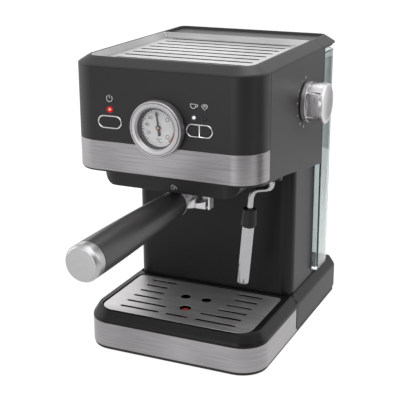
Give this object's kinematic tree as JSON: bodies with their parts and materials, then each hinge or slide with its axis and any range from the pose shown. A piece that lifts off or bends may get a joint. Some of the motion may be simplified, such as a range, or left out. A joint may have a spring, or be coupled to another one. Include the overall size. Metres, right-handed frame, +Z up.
{
  "type": "espresso machine",
  "caption": "Pump espresso machine with a boiler head on a column, bayonet twin-spout holder, steam wand, thermometer, drip tray and rear water tank.",
  "frame": {"origin": "on the table, under the middle of the base's footprint", "axes": "+Z up, -Y towards the person using it, +X to that person's right"},
  "size_m": [0.2364, 0.4465, 0.332],
  "materials": {
    "moulded_black": "fine matte moulded",
    "satin_black": "satin moulded",
    "brushed_steel": "brushed along its length",
    "tray_steel": "brushed along its length",
    "bezel_steel": "turned satin",
    "plain_steel": "plain",
    "cast_aluminium": "polished casting",
    "raw_aluminium": "as cast",
    "satin_aluminium": "satin turned",
    "chrome": "polished",
    "brass": "plain",
    "rubber": "matte",
    "handle_black": "smooth satin",
    "button_black": "satin",
    "dial_white": "printed",
    "needle_black": "satin",
    "clear_glass": "clear",
    "tank_clear": "clear, gloss",
    "hose_clear": "milky",
    "board_green": "printed board",
    "inner_plastic": "moulded",
    "float_red": "gloss",
    "lamp_red": "lit lens",
    "lamp_white": "lens"
  },
  "bodies": {
    "chassis": {"feet": "rubber", "base_plate": "satin_black", "base_screws": "plain_steel", "base_rear_shell": "moulded_black", "tank_socket": "satin_black", "cord_gland": "rubber", "column_shell": "satin_black", "rear_cover": "moulded_black", "head_shell": "moulded_black", "head_band": "brushed_steel", "side_panel_left": "moulded_black", "side_panel_right": "moulded_black", "head_underside": "satin_black", "top_frame": "moulded_black", "cup_tray": "tray_steel", "group_ring": "cast_aluminium", "shower_screen": "plain_steel", "group_gasket": "rubber", "boiler_lower": "raw_aluminium", "boiler_upper": "raw_aluminium", "boiler_bolts": "plain_steel", "thermostats": "inner_plastic", "pump": "inner_plastic", "suction_hose": "hose_clear", "pressure_hose": "hose_clear", "steam_valve": "brass", "steam_pipes": "plain_steel", "wand_socket": "satin_black", "control_board": "board_green", "switches": "inner_plastic", "gauge_bezel": "bezel_steel", "gauge_dial": "dial_white", "gauge_lens": "clear_glass", "button_rings": "chrome", "power_lens": "lamp_red", "status_lenses": "lamp_white"},
    "portafilter": {"portafilter_body": "cast_aluminium", "twin_spout": "chrome", "basket": "plain_steel", "handle_bolt": "plain_steel", "handle": "handle_black", "handle_end_cap": "satin_aluminium"},
    "steam_knob": {"knob": "chrome", "knob_cap": "chrome", "valve_spindle": "brass"},
    "steam_wand": {"wand_tube": "chrome", "wand_grip": "rubber"},
    "frothing_sleeve": {"froth_sleeve": "chrome"},
    "gauge_needle": {"needle": "needle_black"},
    "power_key": {"power_button": "button_black"},
    "brew_key": {"brew_button": "button_black"},
    "steam_key": {"steam_button": "button_black"},
    "tray": {"drip_tray": "moulded_black", "tray_band": "brushed_steel"},
    "grid": {"drip_grid": "tray_steel"},
    "level_float": {"float": "float_red"},
    "tank": {"water_tank": "tank_clear", "tank_valve": "satin_black", "lid_pins": "plain_steel"},
    "lid": {"tank_lid": "moulded_black"}
  },
  "joints": [
    {"name": "portafilter_turn", "type": "hinge", "parent": "chassis", "child": "portafilter", "pos_m": [0, -0.0775, 0.208], "axis": [0, 0, 1], "range_deg": [-45, 0]},
    {"name": "steam_knob_turn", "type": "hinge", "parent": "chassis", "child": "steam_knob", "pos_m": [0.105, -0.0045, 0.274], "axis": [1, 0, 0], "range_deg": [0, 180]},
    {"name": "wand_swing", "type": "hinge", "parent": "chassis", "child": "steam_wand", "pos_m": [0.09, -0.0645, 0.209], "axis": [0, 0, 1], "range_deg": [0, 120]},
    {"name": "sleeve_pull", "type": "slide", "parent": "steam_wand", "child": "frothing_sleeve", "axis": [-0.0872, 0, -0.9962], "range_m": [0, 0.01]},
    {"name": "needle_turn", "type": "hinge", "parent": "chassis", "child": "gauge_needle", "pos_m": [0, -0.1465, 0.267], "axis": [0, 1, 0], "range_deg": [-110, 140], "stiffness_Nm_per_rad": 0.0005},
    {"name": "power_press", "type": "slide", "parent": "chassis", "child": "power_key", "axis": [0, 1, 0], "range_m": [0, 0.0018], "stiffness_N_per_m": 400},
    {"name": "brew_press", "type": "slide", "parent": "chassis", "child": "brew_key", "axis": [0, 1, 0], "range_m": [0, 0.0018], "stiffness_N_per_m": 400},
    {"name": "steam_press", "type": "slide", "parent": "chassis", "child": "steam_key", "axis": [0, 1, 0], "range_m": [0, 0.0018], "stiffness_N_per_m": 400},
    {"name": "tray_slide", "type": "slide", "parent": "chassis", "child": "tray", "axis": [0, -1, 0], "range_m": [0, 0.15]},
    {"name": "grid_lift", "type": "slide", "parent": "tray", "child": "grid", "axis": [0, 0, 1], "range_m": [0, 0.014]},
    {"name": "float_rise", "type": "slide", "parent": "tray", "child": "level_float", "axis": [0, 0, 1], "range_m": [0, 0.008]},
    {"name": "tank_lift", "type": "slide", "parent": "chassis", "child": "tank", "axis": [0, 0, 1], "range_m": [0, 0.28]},
    {"name": "lid_open", "type": "hinge", "parent": "tank", "child": "lid", "pos_m": [0, 0.111, 0.321], "axis": [-1, 0, 0], "range_deg": [0, 95]}
  ]
}
